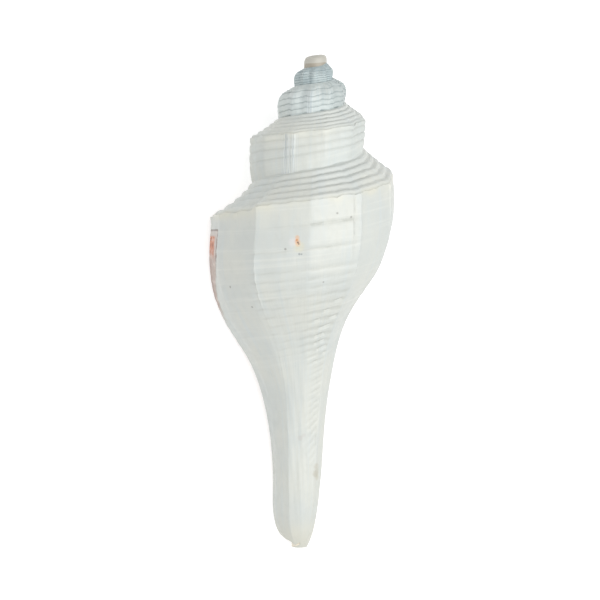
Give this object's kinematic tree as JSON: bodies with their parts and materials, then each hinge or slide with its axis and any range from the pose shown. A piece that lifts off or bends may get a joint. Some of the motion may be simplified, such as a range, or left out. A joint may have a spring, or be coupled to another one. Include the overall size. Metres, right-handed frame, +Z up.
{
  "type": "conch shell",
  "caption": "White spindle-shaped conch shell with a stepped, corded spire, a wide last whorl and a long open canal, lying on its mouth.",
  "frame": {"origin": "centre of the bounding box in X and Y, at the height of the surface that the shell lies on", "axes": "+Z up; +Y from the canal's tip to the apex, with the shell's axis tipped 9 degrees up towards the apex; the outer lip is on the -X side"},
  "size_m": [0.0641, 0.1778, 0.0562],
  "materials": {
    "shell": "glossy white natural shell"
  },
  "bodies": {
    "root": {"conch_shell": "shell"}
  },
  "joints": []
}
